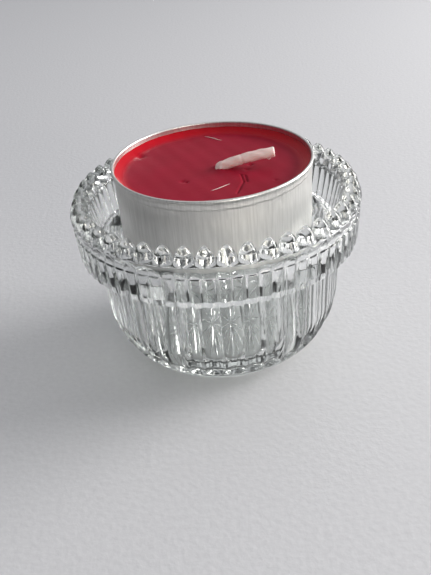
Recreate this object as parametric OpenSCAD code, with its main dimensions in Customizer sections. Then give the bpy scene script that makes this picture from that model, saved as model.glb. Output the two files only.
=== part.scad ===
// Pressed-glass tealight holder with a tealight standing in it.
// Millimetres, +Z up. The origin is the centre of the foot, on the surface that
// the holder stands on. The front is -Y, and an azimuth is counted from the front
// towards +X.

/* [Glass bowl] */
// Outer radius of the foot, where the glass meets the table
foot_r = 15.7; // [15:0.1:16.5]
// Outer radius of the bowl right under the collar
bowl_r = 24.2; // [23.8:0.1:24.6]
// Outward lean of the bowl's wall, in degrees
bowl_lean = 2.9; // [2:0.1:4]
// Radius of the curve that leads from the foot up to the wall
belly_r = 15.4; // [14.5:0.1:16.5]
// Long flutes around the bowl
flute_count = 36; // [32:2:40]
// Azimuth of one flute, in degrees
flute_turn = 3; // [0:0.5:5]
// Radius of the tool that presses one flute
flute_r = 3.4; // [3:0.1:4]
// Depth of a flute below the bowl's surface
flute_depth = 0.72; // [0.4:0.01:0.8]
// Height above the foot at which the lower half of a flute is deepest
flute_low_z = 8.4; // [8:0.1:9.5]

/* [Star under the foot] */
// Depth of the hollow that keeps the star off the table
star_hollow = 0.5; // [0.3:0.1:0.8]
// Outer radius of the hollow
star_r = 12.8; // [12:0.1:13.5]
// Rays of the star
star_rays = 16; // [12:1:20]
// Width of a ray at its mouth
ray_w = 2; // [1.4:0.1:2.2]
// Depth of a ray
ray_depth = 0.8; // [0.4:0.1:1]

/* [Collar] */
// Height of the collar's underside
collar_z = 24.2; // [23.5:0.1:25]
// Outer radius of the collar at its underside
collar_low_r = 27.6; // [27.2:0.1:28]
// Outer radius of the collar at the bead line
collar_top_r = 28.2; // [28.15:0.05:28.5]
// Height of the line that the beads stand on
bead_line_z = 32.6; // [32:0.1:33.5]
// Height of the top of the grooves between the ribs, under the plain band
rib_top_z = 30.1; // [29:0.1:31]
// Ribs around the collar
rib_count = 72; // [60:4:80]
// Azimuth of one rib, in degrees
rib_turn = 0.5; // [0:0.5:5]
// Radius of the groove between two ribs
groove_r = 0.5; // [0.3:0.05:0.6]

/* [Beads] */
// Beads around the top of the collar
bead_count = 45; // [40:1:46]
// Azimuth of the bead nearest the front, in degrees
bead_turn = 2.5; // [0:0.5:8]
// Distance of the beads from the centre
bead_ring_r = 26.3; // [26.25:0.05:26.35]
// Radius of a bead at its foot
bead_r = 1.78; // [1.6:0.01:1.8]
// Height of a bead's point above the bead line
bead_h = 3.3; // [2.8:0.1:3.6]

/* [Seat for the tealight] */
// Radius of the opening at the bead line
mouth_r = 24.4; // [24.2:0.1:24.4]
// Height of the neck, where the opening's funnel meets the lower hollow
neck_z = 21.6; // [21.4:0.1:21.8]
// Radius of the opening at the neck
neck_r = 21.3; // [21.1:0.1:21.5]
// Radius of the lower hollow at its floor
hollow_floor_r = 15; // [14.8:0.1:15.2]
// Height of the lower hollow's floor, which is the thickness of the foot
floor_z = 4.8; // [4.6:0.1:5]
// Radius of the curve between the hollow's floor and its wall
hollow_belly_r = 6.4; // [6.2:0.1:6.6]
// Lugs that carry the tealight
lug_count = 5; // [3:1:6]
// Azimuth of one lug, in degrees
lug_turn = 39.5; // [30:0.5:45]
// Width of a lug
lug_w = 4.6; // [4:0.1:5.5]
// Distance of a lug's inner face from the centre
lug_inner_r = 16.6; // [16:0.1:17]
// Height of the lugs' tops, where the tealight stands
seat_z = 26.2; // [25.8:0.1:27]

/* [Tealight] */
// Outer radius of the cup at its foot
cup_low_r = 18.8; // [18.65:0.05:18.95]
// Outer radius of the cup above its crease
cup_top_r = 19.05; // [19:0.05:19.15]
// Height of the cup
cup_h = 14.3; // [13:0.1:15]
// Thickness of the cup's wall
cup_wall = 0.22; // [0.15:0.01:0.3]
// Radius of the rolled rim
rim_r = 0.3; // [0.25:0.01:0.35]
// Distance of the crease below the top of the cup
crease_drop = 1.9; // [1.6:0.1:2.4]
// Height of the flat of the wax above the foot of the cup
wax_h = 12.3; // [12:0.1:12.6]
// Rise of the wax where it climbs the cup's wall
wax_climb = 1; // [0.6:0.1:1.2]
// Width of the raised edge of the wax
wax_edge_w = 2.1; // [1.5:0.1:2.5]

/* [Wick] */
// Sideways place of the wick's foot
wick_x = 1.4; // [-2:0.1:2]
// Front-to-back place of the wick's foot
wick_y = -1.2; // [-2:0.1:2]
// Radius of the wick
wick_r = 1; // [0.8:0.05:1.1]
// Height above the wax at which the wick is bent over
knee_h = 0.6; // [0.5:0.05:1]
// Angle of the wick from upright right after the knee, in degrees
knee_turn = 72; // [60:1:76]
// Radius of the wick's slow curve towards its end
droop_r = 41; // [38:1:50]
// Turn of the slow curve, in degrees
droop_turn = 14; // [11:0.5:14]
// Radius of the plate that holds the wick at the bottom of the cup
plate_r = 6; // [5:0.1:7]
// Thickness of the plate
plate_t = 0.3; // [0.2:0.05:0.4]
// Height of the plate's neck, which grips the wick
neck_h = 3; // [2:0.1:4]
// Wall thickness of the neck
neck_wall = 0.25; // [0.2:0.05:0.3]

/* [Hidden] */
$fn = 96;
// Overlap where one cutter or solid runs past another
eps = 0.4;
// Upward direction of the bowl's leaning wall, and the direction square to it
wall_dir = [sin(bowl_lean), cos(bowl_lean)];
wall_out = [cos(bowl_lean), -sin(bowl_lean)];
wall_top = [bowl_r, collar_z];
hollow_top = [neck_r, neck_z];
collar_lean = atan((collar_top_r - collar_low_r) / (bead_line_z - collar_z));
// Arc radius of a bead's pointed profile, upright at the foot and meeting at the point
bead_arc_r = (bead_r * bead_r + bead_h * bead_h) / (2 * bead_r);
bead_steps = 5;
// The lower flute tool lies along the belly at flute_low_z
belly_c = arc_centre(wall_top, belly_r, foot_r, 0);
belly_tilt = asin((belly_c[1] - flute_low_z) / belly_r);
cup_top_z = seat_z + cup_h;
crease_z = cup_top_z - crease_drop;
wax_z = seat_z + wax_h;
cup_floor_z = seat_z + cup_wall;
plate_top_z = cup_floor_z + plate_t;
// Half section of a lug. Its foot and its back end inside the glass.
lug_section = [[lug_inner_r, 5.2], [20.2, 5.2], [21.6, 9], [22.2, 12], [22.2, 21],
               [23, collar_z + 0.2], [25.8, collar_z + 0.2], [25.8, seat_z], [lug_inner_r, seat_z]];
// The knee is a little thicker than the wick
knee_r = 1.08 * wick_r;

// Centre of the arc of radius r that starts at [start_r, start_z] and runs tangent into the
// wall line that leads down from top
function arc_centre(top, r, start_r, start_z) =
    let (near = top - r * wall_out, gap = near - [start_r, start_z], along = gap * wall_dir)
    near - (along - sqrt(along * along - gap * gap + r * r)) * wall_dir;

// Point of a bead's pointed profile at height z above its foot
function bead_flank(z) = [bead_r - bead_arc_r + sqrt(bead_arc_r * bead_arc_r - z * z), z];

// Places its child count times around +Z. The child stands at azimuth 0, towards -Y.
module around(count, turn = 0) {
    for (i = [0 : count - 1])
        rotate([0, 0, turn + i * 360 / count])
            children();
}

// A cylinder at azimuth 0 that passes distance r from +Z at height z and leans outwards
module leaning_cylinder(r, z, lean, radius, down, up) {
    translate([0, -r, z])
        rotate([lean, 0, 0])
            translate([0, 0, -down])
                cylinder(h = down + up, r = radius);
}

// Half section of a bowl: a flat foot, an arc and a leaning wall that ends at top
module bowl_section(top, r, start_r, start_z) {
    c = arc_centre(top, r, start_r, start_z);
    tangent = c + r * wall_out;
    intersection() {
        translate(c)
            circle(r = r);
        translate([0, start_z])
            square([c[0] + r, tangent[1] - start_z]);
    }
    polygon([[0, tangent[1] - eps], [c[0], tangent[1] - eps], tangent, top, [0, top[1]]]);
    translate([0, start_z])
        square([c[0], tangent[1] - start_z]);
}

module flutes() {
    around(flute_count, flute_turn)
        leaning_cylinder(bowl_r + flute_r - flute_depth, collar_z, bowl_lean, flute_r,
                         collar_z, 2 * eps);
    around(flute_count, flute_turn)
        leaning_cylinder(belly_c[0] + (belly_r + flute_r - flute_depth) * cos(belly_tilt),
                         belly_c[1] - (belly_r + flute_r - flute_depth) * sin(belly_tilt),
                         belly_tilt, flute_r, 8, 5.5);
}

// Hollow under the foot, with V-shaped rays pressed into it
module star() {
    translate([0, 0, -eps])
        cylinder(h = star_hollow + eps, r = star_r);
    around(star_rays)
        translate([0, -star_r + 0.4, star_hollow])
            rotate([-90, 0, 0])
                linear_extrude(height = star_r - 4)
                    polygon([[-ray_w / 2, eps], [-ray_w / 2, 0], [0, -ray_depth],
                             [ray_w / 2, 0], [ray_w / 2, eps]]);
}

module collar_grooves() {
    around(rib_count, rib_turn + 180 / rib_count)
        leaning_cylinder(collar_low_r, collar_z, collar_lean, groove_r, 2,
                         (rib_top_z - collar_z) / cos(collar_lean));
}

module beads() {
    flank = [for (i = [0 : bead_steps - 1]) bead_flank(bead_h * i / bead_steps)];
    around(bead_count, bead_turn)
        translate([0, -bead_ring_r, bead_line_z])
            rotate_extrude()
                polygon(concat([[0, -eps], [bead_r, -eps]], flank, [[0, bead_h]]));
}

// Lugs inside the glass that carry the tealight
module lugs() {
    around(lug_count, lug_turn - 90)
        rotate([90, 0, 0])
            translate([0, 0, -lug_w / 2])
                linear_extrude(height = lug_w)
                    polygon(lug_section);
}

// Round space that the tealight goes into. Its turned section starts and ends under a lug.
module opening() {
    rotate([0, 0, lug_turn + 360 / lug_count - 90])
        rotate_extrude() {
            bowl_section(hollow_top, hollow_belly_r, hollow_floor_r, floor_z);
            polygon([[0, neck_z], hollow_top, [mouth_r, bead_line_z],
                     [mouth_r, bead_line_z + bead_h + eps], [0, bead_line_z + bead_h + eps]]);
        }
}

// Bowl without its collar, fluted outside and with the star under its foot
module bowl_blank() {
    difference() {
        rotate_extrude()
            bowl_section(wall_top, belly_r, foot_r, 0);
        flutes();
        star();
    }
}

module collar_blank() {
    difference() {
        rotate_extrude()
            polygon([[0, collar_z - eps], [bowl_r - 2, collar_z - eps], [bowl_r - 2, collar_z],
                     [collar_low_r, collar_z], [collar_top_r, bead_line_z], [0, bead_line_z]]);
        collar_grooves();
    }
}

module glass_holder() {
    color([0.86, 0.9, 0.89, 0.55]) {
        difference() {
            union() {
                bowl_blank();
                collar_blank();
                beads();
            }
            opening();
        }
        lugs();
    }
}

// Half section of the cup: its floor, wall, crease and rolled rim
module cup_section() {
    difference() {
        cup_outline(0);
        translate([0, cup_wall])
            cup_outline(cup_wall);
    }
    translate([cup_top_r, cup_top_z - rim_r])
        circle(r = rim_r);
}

// Outline of the cup, set in by inset from its outer face
module cup_outline(inset) {
    polygon([[0, seat_z], [cup_low_r - 0.6 - inset, seat_z], [cup_low_r - inset, seat_z + 0.6],
             [cup_low_r + 0.1 - inset, crease_z - 0.3], [cup_top_r - inset, crease_z],
             [cup_top_r - inset, cup_top_z - rim_r], [0, cup_top_z - rim_r]]);
}

module tealight_cup() {
    color([0.78, 0.77, 0.75])
        rotate_extrude()
            cup_section();
}

// Solid shape of the wick plate, with its neck not yet bored
module plate_blank() {
    translate([wick_x, wick_y, cup_floor_z]) {
        cylinder(h = plate_t, r = plate_r);
        cylinder(h = plate_t + neck_h, r = wick_r + neck_wall);
    }
}

module wick_plate() {
    color([0.7, 0.71, 0.73])
        difference() {
            plate_blank();
            translate([wick_x, wick_y, plate_top_z])
                cylinder(h = neck_h + eps, r = wick_r);
        }
}

// Straight stretch of the wick, from its plate up through the wax to its knee
module wick_stem() {
    translate([wick_x, wick_y, plate_top_z])
        cylinder(h = wax_z + knee_h - plate_top_z, r = wick_r);
}

// Stretch that lies over the wax, from the knee towards +X
module wick_end() {
    rotate([0, knee_turn, 0])
        translate([droop_r, 0, 0])
            rotate([90, 0, 0])
                rotate([0, 0, 180 - droop_turn])
                    rotate_extrude(angle = droop_turn)
                        translate([droop_r, 0])
                            circle(r = wick_r);
}

module wick() {
    color([0.93, 0.76, 0.74]) {
        wick_stem();
        translate([wick_x, wick_y, wax_z + knee_h]) {
            sphere(r = knee_r);
            wick_end();
        }
    }
}

module wax() {
    color([0.66, 0.14, 0.2])
        difference() {
            rotate_extrude()
                polygon([[0, cup_floor_z], [cup_low_r - 0.6 - cup_wall, cup_floor_z],
                         [cup_low_r - cup_wall, cup_floor_z + 0.6],
                         [cup_low_r + 0.1 - cup_wall, crease_z - 0.3 + cup_wall],
                         [cup_top_r - cup_wall, crease_z + cup_wall],
                         [cup_top_r - cup_wall, wax_z + wax_climb],
                         [cup_top_r - cup_wall - 0.5, wax_z + wax_climb],
                         [cup_top_r - cup_wall - wax_edge_w, wax_z], [0, wax_z]]);
            plate_blank();
            wick_stem();
            translate([wick_x, wick_y, wax_z + knee_h])
                sphere(r = knee_r);
        }
}

glass_holder();
tealight_cup();
wax();
wick_plate();
wick();
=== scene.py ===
"""Looks of a pressed-glass tealight holder with an unburnt red tealight in it.

Sizes and places are in millimetres until shape() scales a mesh to metres. An azimuth is
counted from the front, -Y, towards +X, as in the CAD source.
"""

from math import asin, cos, pi, radians, sin, sqrt

import bpy
import numpy as np
from mathutils import Matrix, Vector


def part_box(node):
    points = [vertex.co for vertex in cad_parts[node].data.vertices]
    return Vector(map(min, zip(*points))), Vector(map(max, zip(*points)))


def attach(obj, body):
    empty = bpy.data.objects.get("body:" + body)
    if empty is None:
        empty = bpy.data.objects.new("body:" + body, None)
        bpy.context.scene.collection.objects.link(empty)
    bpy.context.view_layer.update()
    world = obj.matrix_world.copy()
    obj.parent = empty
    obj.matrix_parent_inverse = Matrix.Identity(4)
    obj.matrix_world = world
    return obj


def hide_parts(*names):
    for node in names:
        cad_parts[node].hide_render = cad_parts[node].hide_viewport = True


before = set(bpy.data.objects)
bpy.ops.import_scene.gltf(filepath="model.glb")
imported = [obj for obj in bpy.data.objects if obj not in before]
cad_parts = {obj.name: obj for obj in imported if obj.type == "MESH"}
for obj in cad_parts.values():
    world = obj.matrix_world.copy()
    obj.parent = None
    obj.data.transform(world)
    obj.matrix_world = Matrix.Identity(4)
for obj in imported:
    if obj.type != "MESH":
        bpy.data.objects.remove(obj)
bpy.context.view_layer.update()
MM = 0.001


def node_box(node):
    """Lowest and highest corner of a CAD node, in millimetres."""
    return [[value / MM for value in corner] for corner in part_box(node)]


# ---------------------------------------------------------------- sizes

GLASS_TOP_Z = node_box("glass_holder")[1][2]
CUP_LOW, CUP_HIGH = node_box("tealight_cup")

# Glass outside
FOOT_R = 15.7
BOWL_R = 24.2
BOWL_LEAN = radians(2.9)
BELLY_R = 15.4
FLUTES = 36
FLUTE_TURN = 3
FLUTE_R = 3.4
FLUTE_DEPTH = 0.72
FLUTE_END = radians(29)
COLLAR_Z = 24.2
COLLAR_LOW_R = 27.6
COLLAR_TOP_R = 28.2
BEAD_LINE_Z = 32.6
RIB_TOP_Z = 30.1
RIBS = 72
RIB_TURN = 0.5
RIB_VALLEY = 0.5
BAND_DEPTH = 0.3
BEADS = 45
BEAD_TURN = 2.5
BEAD_RING_R = 26.24
BEAD_R = 1.77
BEAD_H = GLASS_TOP_Z - BEAD_LINE_Z

# Star under the foot
STAR_HOLLOW = 0.5
STAR_R = 12.8
STAR_RAYS = 16
RAY_W = 2.0
RAY_DEPTH = 0.8

# Glass inside
MOUTH_R = 24.4
NECK_Z = 21.6
NECK_R = 21.3
HOLLOW_FLOOR_R = 15
FLOOR_Z = 4.8
HOLLOW_BELLY_R = 6.4
LUGS = 5
LUG_TURN = 39.5
LUG_W = 4.6
LUG_R = 16.6
LUG_LOW_Z = 5.3
LUG_EDGE = 0.12
SEAT_Z = CUP_LOW[2]

# Tealight
RIM_R = 0.3
CUP_TOP_R = CUP_HIGH[0] - RIM_R
CUP_LOW_R = CUP_TOP_R - 0.25
CUP_WALL = 0.22
FOIL_INSET = 0.05
RIM_Z = CUP_HIGH[2] - RIM_R
CREASE_Z = CUP_HIGH[2] - 1.9
WRINKLE = 0.06
WAX_Z = 38.5
WAX_CLIMB = 1.0
WAX_EDGE_W = 2.1
WAX_GAP = 0.06
CREASE_DEPTH = 0.3
CREASE_W = 0.17
WICK_X = 1.4
WICK_Y = -1.2
WICK_R = 0.96
KNEE_Z = WAX_Z + 0.6
KNEE_TURN = radians(72)
DROOP_R = 41
DROOP_TURN = radians(14)

# Every turned piece has the same columns of points, from FIRST_AZIMUTH degrees on
COLUMNS = 720
FIRST_AZIMUTH = -2
AZIMUTH = np.radians(FIRST_AZIMUTH + np.arange(COLUMNS) * 360 / COLUMNS)


# ---------------------------------------------------------------- mesh helpers

def shape(name, points, faces, material, smooth=True):
    """A mesh object from points in millimetres."""
    mesh = bpy.data.meshes.new(name)
    mesh.from_pydata((np.asarray(points) * MM).tolist(), [], faces)
    mesh.polygons.foreach_set("use_smooth", [smooth] * len(mesh.polygons))
    mesh.materials.append(material)
    mesh.update()
    piece = bpy.data.objects.new(name, mesh)
    bpy.context.scene.collection.objects.link(piece)
    return piece


def belt_faces(rows, columns):
    """Quads of a grid that closes on itself along its columns."""
    faces = []
    for i in range(rows - 1):
        for j in range(columns):
            k = (j + 1) % columns
            faces.append((i * columns + j, i * columns + k, (i + 1) * columns + k, (i + 1) * columns + j))
    return faces


def cap_faces(first, pole, columns, turned):
    """A fan of triangles between a ring that starts at index first and a pole."""
    faces = []
    for j in range(columns):
        a = first + j
        b = first + (j + 1) % columns
        faces.append((pole, b, a) if turned else (pole, a, b))
    return faces


def closed_belt(name, grid, material):
    """A closed mesh from a grid of rings, with a fan over its first and last ring."""
    rows, columns, _ = grid.shape
    points = list(grid.reshape(-1, 3)) + [grid[0].mean(0), grid[-1].mean(0)]
    faces = belt_faces(rows, columns)
    faces += cap_faces(0, rows * columns, columns, True)
    faces += cap_faces((rows - 1) * columns, rows * columns + 1, columns, False)
    return shape(name, points, faces, material)


def turned_grid(rings):
    """Grid of points from rings of (azimuth, radius, height) arrays."""
    azimuth, r, z = (np.array([np.broadcast_to(ring[k], AZIMUTH.shape) for ring in rings]) for k in range(3))
    return np.stack([r * np.sin(azimuth), -r * np.cos(azimuth), z], axis=-1)


def from_nearest(azimuth, count, turn):
    """Angle from the nearest of count features around the axis, one of them at turn degrees."""
    pitch = 2 * pi / count
    return (azimuth - radians(turn) + pitch / 2) % pitch - pitch / 2


def smooth_step(x, low, high):
    t = np.clip((x - low) / (high - low), 0, 1)
    return t * t * (3 - 2 * t)


def softened(x, width):
    """Positive part of x, with its corner rounded over width."""
    return (x + np.sqrt(x * x + width * width)) / 2


def arc_centre(top, r, start):
    """Centre of the arc that starts at start and runs tangent into the leaning wall under top."""
    wall = np.array([sin(BOWL_LEAN), cos(BOWL_LEAN)])
    near = np.array(top) - r * np.array([cos(BOWL_LEAN), -sin(BOWL_LEAN)])
    gap = near - np.array(start)
    along = gap @ wall
    return near - (along - sqrt(along * along - gap @ gap + r * r)) * wall


# ---------------------------------------------------------------- glass holder

BELLY_C = arc_centre((BOWL_R, COLLAR_Z), BELLY_R, (FOOT_R, 0))
HOLLOW_C = arc_centre((NECK_R, NECK_Z), HOLLOW_BELLY_R, (HOLLOW_FLOOR_R, FLOOR_Z))


def star_rings():
    """Underside, from the centre to the edge of the hollow, with leaf-shaped rays pressed in."""
    rings = []
    for r in np.concatenate([[0.5, 1.1], np.linspace(1.8, 12.3, 13), [12.65]]):
        share = np.clip((r - 0.8) / 11.6, 0, 1)
        leaf = sin(pi * share) ** 0.6 if 0 < share < 1 else 0
        across = abs(r * from_nearest(AZIMUTH, STAR_RAYS, 0))
        ray = np.clip(1 - across / (RAY_W / 2 * leaf + 1e-6), 0, 1)
        rings.append((AZIMUTH, r, STAR_HOLLOW + RAY_DEPTH * leaf * ray))
    return rings


def foot_rings():
    """Ring that the holder stands on, with its edges slightly rounded."""
    outline = [(STAR_R, STAR_HOLLOW), (STAR_R + 0.25, 0.1), (STAR_R + 0.5, 0), (FOOT_R - 0.35, 0)]
    return [(AZIMUTH, r, z) for r, z in outline]


def flute_cut(r, below_end):
    """Depth of the flutes where the bowl has radius r, below_end under the middle of their round ends."""
    across = r * from_nearest(AZIMUTH, FLUTES, FLUTE_TURN)
    reach = across ** 2 + below_end ** 2
    sagitta = FLUTE_R - np.sqrt(FLUTE_R ** 2 - np.minimum(reach, 9))
    return softened(FLUTE_DEPTH - sagitta, 0.05) - 0.01


def belly_rings():
    """Curve from the foot up to the wall, where the flutes start with round ends."""
    start = asin((BELLY_C[1] - 0.12) / BELLY_R)
    angles = np.concatenate([np.linspace(start, radians(41), 6), np.linspace(radians(39), radians(22), 17),
                             np.linspace(radians(19), BOWL_LEAN, 5)])
    rings = []
    for angle in angles:
        r = BELLY_C[0] + BELLY_R * cos(angle)
        z = BELLY_C[1] - BELLY_R * sin(angle)
        cut = flute_cut(r, max(0, (angle - FLUTE_END) * BELLY_R))
        rings.append((AZIMUTH, r - cut * cos(angle), z + cut * sin(angle)))
    return rings


def wall_rings():
    """Straight leaning stretch of the bowl up to the collar."""
    rings = []
    for z in (16, 20, 23.6, COLLAR_Z - 0.15):
        r = BOWL_R - (COLLAR_Z - z) * sin(BOWL_LEAN) / cos(BOWL_LEAN)
        rings.append((AZIMUTH, r - flute_cut(r, 0), z))
    top_r = BOWL_R - flute_cut(BOWL_R, 0)
    return rings + [(AZIMUTH, top_r + 0.15, COLLAR_Z)]


def collar_line(z):
    """Radius of the collar's leaning outside at height z."""
    share = (z - COLLAR_Z) / (BEAD_LINE_Z - COLLAR_Z)
    return COLLAR_LOW_R + share * (COLLAR_TOP_R - COLLAR_LOW_R)


def rib_line(z):
    """Radius of the ribbed outside at height z: flat ribs with rounded shoulders."""
    across = abs(from_nearest(AZIMUTH, RIBS, RIB_TURN)) / (pi / RIBS)
    return collar_line(z) - RIB_VALLEY * (0.25 * across ** 2 + 0.75 * across ** 6)


def collar_rings():
    """Collar's underside, its ribs, the shelf on top of them and the wavy band up to the parting line."""
    waves = 0.09 * np.cos(BEADS * (AZIMUTH - radians(BEAD_TURN))) - 0.09
    low_r = rib_line(COLLAR_Z)
    rings = [(AZIMUTH, low_r - 0.22, COLLAR_Z), (AZIMUTH, low_r - 0.04, COLLAR_Z + 0.06)]
    for z in (COLLAR_Z + 0.25, 27, RIB_TOP_Z - 0.15):
        rings.append((AZIMUTH, rib_line(z), z))
    rings.append((AZIMUTH, rib_line(RIB_TOP_Z) - 0.05, RIB_TOP_Z))
    band = collar_line(RIB_TOP_Z) - BAND_DEPTH
    rings.append((AZIMUTH, np.minimum(band + 0.06, rib_line(RIB_TOP_Z) - 0.06), RIB_TOP_Z + 0.04))
    rings.append((AZIMUTH, np.minimum(band, rib_line(RIB_TOP_Z) - 0.02), RIB_TOP_Z + 0.2))
    rings.append((AZIMUTH, band + waves, RIB_TOP_Z + 0.8))
    rings.append((AZIMUTH, collar_line(BEAD_LINE_Z - 0.35) - BAND_DEPTH + waves, BEAD_LINE_Z - 0.35))
    rings.append((AZIMUTH, COLLAR_TOP_R - 0.14, BEAD_LINE_Z - 0.14))
    rings.append((AZIMUTH, COLLAR_TOP_R, BEAD_LINE_Z - 0.04))
    return rings


def bead_rings():
    """Row of pointed beads. The columns draw together where two beads meet."""
    arc_r = (BEAD_R ** 2 + BEAD_H ** 2) / (2 * BEAD_R)
    half = pi / BEADS
    offset = from_nearest(AZIMUTH, BEADS, BEAD_TURN)
    warped = half * np.sin(pi / 2 * offset / half)
    rings = []
    for step in range(1, 22):
        y = BEAD_R * cos(pi * step / 22)
        r = BEAD_RING_R + y
        away = np.sqrt((r * warped) ** 2 + y ** 2 + 0.01)
        rise = np.sqrt(np.maximum(arc_r ** 2 - (away + arc_r - BEAD_R) ** 2, 0))
        rings.append((AZIMUTH - offset + warped, r, BEAD_LINE_Z + rise))
    return rings


def lug_share(r):
    """1 on a lug and 0 beside it, at radius r."""
    across = abs(r * np.sin(from_nearest(AZIMUTH, LUGS, LUG_TURN)))
    return 1 - smooth_step(across, LUG_W / 2 - LUG_EDGE, LUG_W / 2 + LUG_EDGE)


def funnel_line(z):
    """Radius of the opening's wall at height z, above the neck."""
    return NECK_R + (MOUTH_R - NECK_R) * (z - NECK_Z) / (BEAD_LINE_Z - NECK_Z)


def mouth_rings():
    """Inside of the glass above the lugs' tops."""
    rings = [(AZIMUTH, MOUTH_R + 0.02, BEAD_LINE_Z - 0.04)]
    for z in (BEAD_LINE_Z - 0.3, 30.5, 28.5, SEAT_Z + 0.15):
        rings.append((AZIMUTH, funnel_line(z), z))
    return rings


def hollow_wall():
    """Outline of the inside below the lugs' tops, from the funnel down to the floor."""
    wall = [(funnel_line(z), z) for z in np.linspace(SEAT_Z - 0.1, NECK_Z + 0.4, 6)]
    for z in (NECK_Z - 0.4, 19, 16.5, 14, 12):
        wall.append((NECK_R - (NECK_Z - z) * sin(BOWL_LEAN) / cos(BOWL_LEAN), z))
    steepest = asin((HOLLOW_C[1] - FLOOR_Z) / HOLLOW_BELLY_R)
    for angle in np.linspace(radians(6), steepest, 14):
        wall.append((HOLLOW_C[0] + HOLLOW_BELLY_R * cos(angle), HOLLOW_C[1] - HOLLOW_BELLY_R * sin(angle)))
    return wall


def hollow_rings():
    """Inside of the glass below the lugs' tops. On a lug, a ring runs over its top or down its face."""
    wall = hollow_wall()
    over_top = [(r, SEAT_Z) for r in np.linspace(funnel_line(SEAT_Z), LUG_R + 0.12, 5)]
    down_face = [(LUG_R, z) for z in np.linspace(SEAT_Z - 0.15, LUG_LOW_Z, len(wall) - 5)]
    rings = []
    for (r, z), (lug_r, lug_z) in zip(wall, over_top + down_face):
        on_lug = lug_share((r + LUG_R) / 2) * (r > LUG_R)
        rings.append((AZIMUTH, r + (lug_r - r) * on_lug, z + (lug_z - z) * on_lug))
    for r in (12, 8, 4, 1.2):
        rings.append((AZIMUTH, r, FLOOR_Z))
    return rings


def glass_holder(material):
    rings = star_rings() + foot_rings() + belly_rings() + wall_rings() + collar_rings()
    rings += bead_rings() + mouth_rings() + hollow_rings()
    piece = closed_belt("pressed_glass_holder", turned_grid(rings), material)
    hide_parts("glass_holder")
    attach(piece, "holder")


# ---------------------------------------------------------------- tealight

def ripple(azimuth, height, seed):
    """Small irregular waves from -1 to 1 around the axis, from a few fixed sines."""
    waves = ((7, 0.9), (13, 1.7), (29, 2.3), (53, 3.1), (97, 4.3))
    total = sum(np.sin(n * azimuth + k * height + seed * n * 1.7) for n, k in waves)
    return total / len(waves)


def cup_outer_r(z):
    """Radius of the cup's outside at height z."""
    lean = CUP_LOW_R + (CUP_TOP_R - 0.15 - CUP_LOW_R) * (z - SEAT_Z) / (CREASE_Z - SEAT_Z)
    return lean + (CUP_TOP_R - lean) * smooth_step(z, CREASE_Z - 0.25, CREASE_Z + 0.1)


def crumple(z):
    """Wrinkles in the foil around the crease, and slow waves all over it."""
    near_crease = np.exp(-((z - CREASE_Z) / 0.35) ** 2)
    wrinkles = WRINKLE * near_crease * ripple(3 * AZIMUTH, 5 * z, 2)
    waves = 0.03 * ripple(AZIMUTH, 0.4 * z, 5)
    return wrinkles + waves - FOIL_INSET


def cup_rings():
    """Cup from the middle of its foot, up outside, over the rolled rim and down inside."""
    rings = [(AZIMUTH, r, SEAT_Z) for r in (2, 10, 17)]
    rings += [(AZIMUTH, CUP_LOW_R - 0.6, SEAT_Z), (AZIMUTH, CUP_LOW_R - 0.2, SEAT_Z + 0.2)]
    wall = np.linspace(SEAT_Z + 0.6, CREASE_Z - 0.7, 14)
    crease = np.linspace(CREASE_Z - 0.5, CREASE_Z + 0.6, 12)
    for z in [*wall, *crease, RIM_Z - 0.45]:
        rings.append((AZIMUTH, cup_outer_r(z) + crumple(z), z))
    for turn in np.radians(np.linspace(-60, 200, 12)):
        wave = 0.02 * ripple(AZIMUTH, 0, 9)
        r = CUP_TOP_R + (RIM_R - 0.02) * cos(turn) - 0.03 + wave
        rings.append((AZIMUTH, r, RIM_Z + RIM_R * sin(turn)))
    for z in (RIM_Z - 0.5, CREASE_Z + 0.4, CREASE_Z - 0.2, 34, 30, SEAT_Z + 0.8):
        rings.append((AZIMUTH, cup_outer_r(z) - CUP_WALL - FOIL_INSET, z))
    return rings + [(AZIMUTH, r, SEAT_Z + CUP_WALL) for r in (CUP_LOW_R - 0.8, 12, 6, 2)]


def tealight_cup(material):
    piece = closed_belt("tealight_cup_foil", turned_grid(cup_rings()), material)
    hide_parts("tealight_cup")
    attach(piece, "tealight")


def from_line(x, y, start, end):
    """Distance of the points x, y from the line between start and end."""
    start = np.array(start)
    along = np.array(end) - start
    share = np.clip(((x - start[0]) * along[0] + (y - start[1]) * along[1]) / (along @ along), 0, 1)
    return np.hypot(x - start[0] - share * along[0], y - start[1] - share * along[1])


# Marks on the wax: (x, y, radius, depth) of round pits, and the ends of fine creases
PITS = [(4.2, 1.4, 0.5, 0.308), (5.6, 0.6, 0.4, 0.28), (7.3, -0.2, 0.45, 0.28), (6.4, -2.3, 0.6, 0.224),
        (-5.7, -5.5, 0.5, 0.28), (-5.0, -6.0, 0.35, 0.28), (11.3, -8.2, 0.35, 0.21), (-14.1, 8.3, 0.9, 0.42)]
CREASES = [((5.2, -4.5), (5.5, -7.7)), ((5.5, -7.7), (4.0, -12.4)), ((5.9, -5.0), (6.1, -8.0))]


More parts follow.
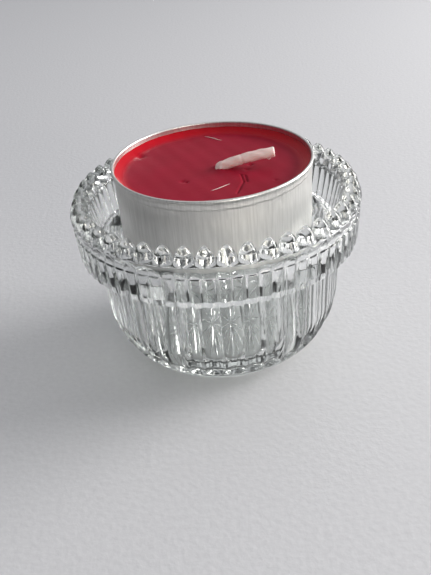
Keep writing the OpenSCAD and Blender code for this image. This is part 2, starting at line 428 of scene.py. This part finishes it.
def wax_top(x, y):
    """Height of the wax: flat with slight waves, raised to the cup's wall and around the wick."""
    r = np.hypot(x, y)
    edge = CUP_TOP_R - CUP_WALL - r
    climb = WAX_CLIMB * np.clip(1 - edge / WAX_EDGE_W, 0, 1) ** 1.6
    waves = 0.05 * np.sin(0.5 * x + 1) * np.sin(0.43 * y + 2) + 0.02 * np.sin(1.7 * x + 0.8 * y)
    foot = np.hypot(x - WICK_X, y - WICK_Y)
    heap = 0.42 * np.exp(-(foot / 1.7) ** 2) * (1 + 0.3 * np.sin(3 * np.arctan2(y - WICK_Y, x - WICK_X)))
    z = WAX_Z - WAX_GAP + climb + waves + heap
    for px, py, size, depth in PITS:
        z = z - depth * np.exp(-(np.hypot(x - px, y - py) / size) ** 2)
    for start, end in CREASES:
        z = z - CREASE_DEPTH * np.exp(-(from_line(x, y, start, end) / CREASE_W) ** 2)
    return z


def wax(material):
    inner_r = CUP_TOP_R - CUP_WALL - WAX_GAP
    rings = [(AZIMUTH, r, SEAT_Z + CUP_WALL + 0.02) for r in (3, 12, CUP_LOW_R - 0.9)]
    rings += [(AZIMUTH, cup_outer_r(z) - CUP_WALL - WAX_GAP, z) for z in (SEAT_Z + 1, 32, CREASE_Z - 0.2)]
    grid = list(turned_grid(rings))
    radii = np.concatenate([inner_r - np.linspace(0, WAX_EDGE_W, 12) ** 1.3 / WAX_EDGE_W ** 0.3,
                            np.linspace(inner_r - WAX_EDGE_W - 0.2, 0.4, 64)])
    for r in radii:
        x = r * np.sin(AZIMUTH)
        y = -r * np.cos(AZIMUTH)
        grid.append(np.stack([x, y, wax_top(x, y)], axis=-1))
    piece = closed_belt("red_wax_fill", np.array(grid), material)
    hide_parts("wax")
    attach(piece, "tealight")


def wick_plate(material):
    """Gives the CAD plate, which the wax hides, its material."""
    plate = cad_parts["wick_plate"]
    plate.data.materials.clear()
    plate.data.materials.append(material)


def sweep(name, path, radii, sides, material, squeeze=None):
    """A closed tube along path, with one radius a point. squeeze(angles, i) changes a ring's radii."""
    path = np.asarray(path, float)
    tangents = np.gradient(path, axis=0)
    tangents /= np.linalg.norm(tangents, axis=1)[:, None]
    side = np.cross(tangents, [0, 1, 0])
    side /= np.linalg.norm(side, axis=1)[:, None]
    up = np.cross(tangents, side)
    angles = np.linspace(0, 2 * pi, sides, endpoint=False)
    grid = []
    for i, centre in enumerate(path):
        r = radii[i] * (squeeze(angles, i) if squeeze else 1)
        r = np.broadcast_to(r, angles.shape)[:, None]
        grid.append(centre + r * (np.cos(angles)[:, None] * side[i] + np.sin(angles)[:, None] * up[i]))
    return closed_belt(name, np.array(grid), material)


def wick_path():
    """Centre line of the wick: up through the wax, over at the knee and then slowly down."""
    bend_r = 0.9
    knee = np.array([WICK_X, WICK_Y, KNEE_Z])
    points = [knee + [0, 0, -z] for z in (3, 2, 1.2, 0.8)]
    start = knee + [0, 0, -bend_r]
    for turn in np.linspace(0, KNEE_TURN, 10):
        points.append(start + [bend_r * (1 - cos(turn)), 0, bend_r * sin(turn)])
    here = points[-1]
    for turn in np.linspace(0, DROOP_TURN, 60)[1:]:
        lean = KNEE_TURN + turn
        points.append(here + DROOP_R * np.array([cos(KNEE_TURN) - cos(lean), 0, sin(lean) - sin(KNEE_TURN)]))
    return np.array(points)


def wick(material):
    """The wick, thick at its foot and pinched half way. Gives the place of its cut end."""
    path = wick_path()
    along = np.concatenate([[0], np.cumsum(np.linalg.norm(np.diff(path, axis=0), axis=1))])
    radii = np.full(len(path), WICK_R)
    radii += 0.1 * np.exp(-((along - 2.6) / 0.5) ** 2)
    radii -= 0.07 * np.exp(-((along - 7.2) / 0.2) ** 2)
    radii[-1] *= 0.9

    def braid(angles, i):
        strands = 0.035 * np.cos(3 * angles - 2.2 * along[i]) + 0.02 * np.cos(6 * angles + 3.1 * along[i])
        crumbs = 0.07 * np.exp(-((along[i] - 2.8) / 0.8) ** 2) * np.sin(5 * angles + 7 * along[i])
        return 1 + strands + crumbs

    piece = sweep("waxed_wick", path, radii, 40, material, braid)
    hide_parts("wick")
    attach(piece, "tealight")
    return path[-1]


def loose_strands(tip, material):
    """A tiny loop of thread under the wick's cut end, and pale fibres lying on the wax."""
    loop = []
    for turn in np.linspace(-0.3, pi + 0.4, 20):
        x = tip[0] - 1.1 + 0.45 * cos(turn)
        loop.append([x, WICK_Y - 0.2 + 0.1 * sin(3 * turn), tip[2] - 0.75 - 0.5 * sin(turn)])
    strands = [("strand_under_tip", np.array(loop), 0.09)]
    fibres = [("fibre_back", (-1.1, 16.0), (2.4, 13.0)), ("fibre_front", (-0.7, -10.8), (3.0, -8.2))]
    for name, start, end in fibres:
        share = np.linspace(0, 1, 16)
        x = start[0] + share * (end[0] - start[0]) + 0.12 * np.sin(5 * share)
        y = start[1] + share * (end[1] - start[1]) + 0.10 * np.cos(4 * share)
        strands.append((name, np.stack([x, y, wax_top(x, y) + 0.05], axis=-1), 0.08))
    for name, path, thick in strands:
        radii = thick * np.sin(np.linspace(0.3, pi - 0.3, len(path)))
        piece = sweep(name, path, radii, 8, material)
        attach(piece, "tealight")


# ---------------------------------------------------------------- materials

def material_of(name):
    """A new node material, with its node tree and its shader."""
    made = bpy.data.materials.new(name)
    made.use_nodes = True
    tree = made.node_tree
    return made, tree, tree.nodes["Principled BSDF"]


def add_node(tree, kind, links=None, **values):
    """A node with input values, and links given as {input: output socket}."""
    node = tree.nodes.new(kind)
    for key, value in values.items():
        setattr(node, key, value)
    for key, value in (links or {}).items():
        if isinstance(value, bpy.types.NodeSocket):
            tree.links.new(value, node.inputs[key])
        else:
            node.inputs[key].default_value = value
    return node


def object_point(tree, scale=(1, 1, 1)):
    """Position in the object, in metres, times scale."""
    place = add_node(tree, "ShaderNodeTexCoord")
    return add_node(tree, "ShaderNodeMapping", {"Vector": place.outputs["Object"], "Scale": scale}).outputs[0]


def noise(tree, point, scale, detail=3.0):
    links = {"Vector": point, "Scale": scale, "Detail": detail}
    return add_node(tree, "ShaderNodeTexNoise", links).outputs[0]


def spread(tree, value, low, high, to_low, to_high):
    links = {0: value, 1: low, 2: high, 3: to_low, 4: to_high}
    return add_node(tree, "ShaderNodeMapRange", links).outputs[0]


def blend_colours(tree, share, first, second):
    mix = add_node(tree, "ShaderNodeMix", data_type="RGBA")
    for index, value in ((0, share), (6, first), (7, second)):
        if isinstance(value, bpy.types.NodeSocket):
            tree.links.new(value, mix.inputs[index])
        else:
            mix.inputs[index].default_value = value
    return mix.outputs[2]


def bump(tree, shader, height, strength, distance):
    node = add_node(tree, "ShaderNodeBump", {"Height": height, "Strength": strength, "Distance": distance})
    tree.links.new(node.outputs[0], shader.inputs["Normal"])


def distance_from_axis(tree):
    """Distance from the tealight's axis in millimetres."""
    point = object_point(tree, (1000, 1000, 0))
    return add_node(tree, "ShaderNodeVectorMath", {0: point}, operation="LENGTH").outputs["Value"]


def glass_material():
    """Clear glass with a green tinge. Lamps shine through it without bending, which keeps shadows soft."""
    made, tree, shader = material_of("pressed_clear_glass")
    shader.inputs["Base Color"].default_value = (0.985, 0.995, 0.99, 1)
    shader.inputs["Transmission Weight"].default_value = 1
    shader.inputs["IOR"].default_value = 1.52
    shader.inputs["Roughness"].default_value = 0.0
    waves = noise(tree, object_point(tree), 420, 2)
    bump(tree, shader, waves, 0.03, 0.0002)
    volume = add_node(tree, "ShaderNodeVolumeAbsorption")
    volume.inputs["Color"].default_value = (0.80, 0.87, 0.82, 1)
    volume.inputs["Density"].default_value = 10
    clear = add_node(tree, "ShaderNodeBsdfTransparent")
    clear.inputs["Color"].default_value = (0.45, 0.47, 0.46, 1)
    shadow = add_node(tree, "ShaderNodeLightPath").outputs["Is Shadow Ray"]
    mix = add_node(tree, "ShaderNodeMixShader", {0: shadow, 1: shader.outputs[0], 2: clear.outputs[0]})
    output = tree.nodes["Material Output"]
    tree.links.new(mix.outputs[0], output.inputs["Surface"])
    tree.links.new(volume.outputs[0], output.inputs["Volume"])
    return made


def aluminium_material():
    made, tree, shader = material_of("satin_aluminium")
    streaks = noise(tree, object_point(tree, (1, 1, 0.05)), 2600, 3)
    clouds = noise(tree, object_point(tree), 120, 2)
    tint = spread(tree, streaks, 0.3, 0.7, 0, 1)
    colour = blend_colours(tree, tint, (0.66, 0.65, 0.63, 1), (0.80, 0.79, 0.77, 1))
    tree.links.new(colour, shader.inputs["Base Color"])
    shader.inputs["Metallic"].default_value = 1
    tree.links.new(spread(tree, clouds, 0.3, 0.7, 0.34, 0.46), shader.inputs["Roughness"])
    bump(tree, shader, streaks, 0.35, 0.00006)
    return made


def wax_material():
    made, tree, shader = material_of("red_wax")
    r = distance_from_axis(tree)
    clouds = noise(tree, object_point(tree), 260, 5)
    dusky = blend_colours(tree, clouds, (0.27, 0.003, 0.018, 1), (0.34, 0.007, 0.030, 1))
    # Towards the cup's wall the wax is painted a brighter, deeper red: a painted highlight on the raised edge
    # of the wax, which is also made glossier there.
    edge = spread(tree, r, 16.1, 17.8, 0, 1)
    colour = blend_colours(tree, edge, dusky, (0.46, 0.001, 0.010, 1))
    tree.links.new(colour, shader.inputs["Base Color"])
    tree.links.new(spread(tree, edge, 0, 1, 0.5, 0.16), shader.inputs["Roughness"])
    shader.inputs["Specular IOR Level"].default_value = 0.12
    shader.inputs["Subsurface Weight"].default_value = 0.15
    shader.inputs["Subsurface Radius"].default_value = (0.9, 0.12, 0.12)
    shader.inputs["Subsurface Scale"].default_value = 0.002
    grain = noise(tree, object_point(tree), 1500, 4)
    bump(tree, shader, grain, 0.12, 0.0002)
    return made


def wick_material():
    made, tree, shader = material_of("waxed_cotton")
    threads = noise(tree, object_point(tree, (0.35, 1, 1)), 2200, 4)
    colour = blend_colours(tree, threads, (0.80, 0.50, 0.47, 1), (0.97, 0.88, 0.84, 1))
    tree.links.new(colour, shader.inputs["Base Color"])
    shader.inputs["Roughness"].default_value = 0.38
    shader.inputs["Subsurface Weight"].default_value = 0.4
    shader.inputs["Subsurface Radius"].default_value = (1.0, 0.6, 0.5)
    shader.inputs["Subsurface Scale"].default_value = 0.0006
    bump(tree, shader, threads, 0.5, 0.00015)
    return made


def steel_material():
    made, tree, shader = material_of("plated_steel")
    grain = noise(tree, object_point(tree, (1, 0.1, 1)), 1800, 3)
    colour = blend_colours(tree, grain, (0.42, 0.43, 0.45, 1), (0.6, 0.61, 0.63, 1))
    tree.links.new(colour, shader.inputs["Base Color"])
    shader.inputs["Metallic"].default_value = 1
    shader.inputs["Roughness"].default_value = 0.35
    bump(tree, shader, grain, 0.3, 0.00005)
    return made


def floor_material():
    made, tree, shader = material_of("pale_floor")
    fine = noise(tree, object_point(tree), 900, 4)
    colour = blend_colours(tree, fine, (0.55, 0.55, 0.57, 1), (0.63, 0.63, 0.65, 1))
    tree.links.new(colour, shader.inputs["Base Color"])
    shader.inputs["Roughness"].default_value = 0.9
    bump(tree, shader, fine, 0.2, 0.0003)
    return made


# ---------------------------------------------------------------- stage, light and camera

def pale_floor():
    """A floor 5 m wide."""
    size = 2500
    points = [(-size, -size, 0), (size, -size, 0), (size, size, 0), (-size, size, 0)]
    piece = shape("floor", points, [(0, 1, 2, 3)], floor_material(), False)


def area_light(name, place, size, power, colour):
    """A square lamp at place, in metres, that faces the middle of the object."""
    data = bpy.data.lights.new(name, "AREA")
    data.size = size
    data.energy = power
    data.color = colour
    lamp = bpy.data.objects.new(name, data)
    lamp.location = place
    lamp.rotation_mode = "QUATERNION"
    lamp.rotation_quaternion = (Vector(place) - Vector((0, 0, 0.02))).to_track_quat("Z", "Y")
    bpy.context.scene.collection.objects.link(lamp)


def soft_world():
    """Room light: bright overhead and towards the right and the back, dim low down and at the left."""
    world = bpy.data.worlds.new("room")
    bpy.context.scene.world = world
    world.use_nodes = True
    tree = world.node_tree
    way = add_node(tree, "ShaderNodeTexCoord").outputs["Generated"]
    side = add_node(tree, "ShaderNodeVectorMath", {0: way, 1: (0.42, 0.30, 0.86)}, operation="DOT_PRODUCT")
    share = spread(tree, side.outputs["Value"], 0.0, 0.9, 0, 1)
    colour = blend_colours(tree, share, (0.10, 0.105, 0.12, 1), (0.95, 0.96, 0.98, 1))
    tree.links.new(colour, tree.nodes["Background"].inputs["Color"])
    tree.nodes["Background"].inputs["Strength"].default_value = 0.8


def camera():
    """A camera 142 mm in front of the holder and 100 mm above the floor, that looks down at it."""
    data = bpy.data.cameras.new("camera")
    data.lens = 50.09
    data.sensor_width = 36
    data.clip_start = 0.005
    viewer = bpy.data.objects.new("camera", data)
    right = (0.9965172, -0.0362492, -0.0750963)
    up = (0.0829168, 0.5262994, 0.8462469)
    back = (0.0088474, -0.8495263, 0.5274721)
    turned = Matrix((right, up, back)).transposed().to_4x4()
    place = (0, -0.142087, 0.099573)
    viewer.matrix_world = Matrix.Translation(place) @ turned
    bpy.context.scene.collection.objects.link(viewer)
    bpy.context.scene.camera = viewer


def light_paths():
    """Enough bounces for light to get through both walls of the glass."""
    scene = bpy.context.scene
    scene.cycles.max_bounces = 24
    scene.cycles.transmission_bounces = 24
    scene.view_settings.view_transform = "Standard"


camera()
soft_world()
area_light("window", (0.55, 0.14, 0.19), 0.34, 5.0, (1.0, 0.985, 0.96))
area_light("low_lamp", (0.22, -0.42, 0.09), 0.22, 1.0, (1.0, 0.94, 0.85))
light_paths()
pale_floor()
glass_holder(glass_material())
tealight_cup(aluminium_material())
wax(wax_material())
cotton = wick_material()
loose_strands(wick(cotton), cotton)
wick_plate(steel_material())
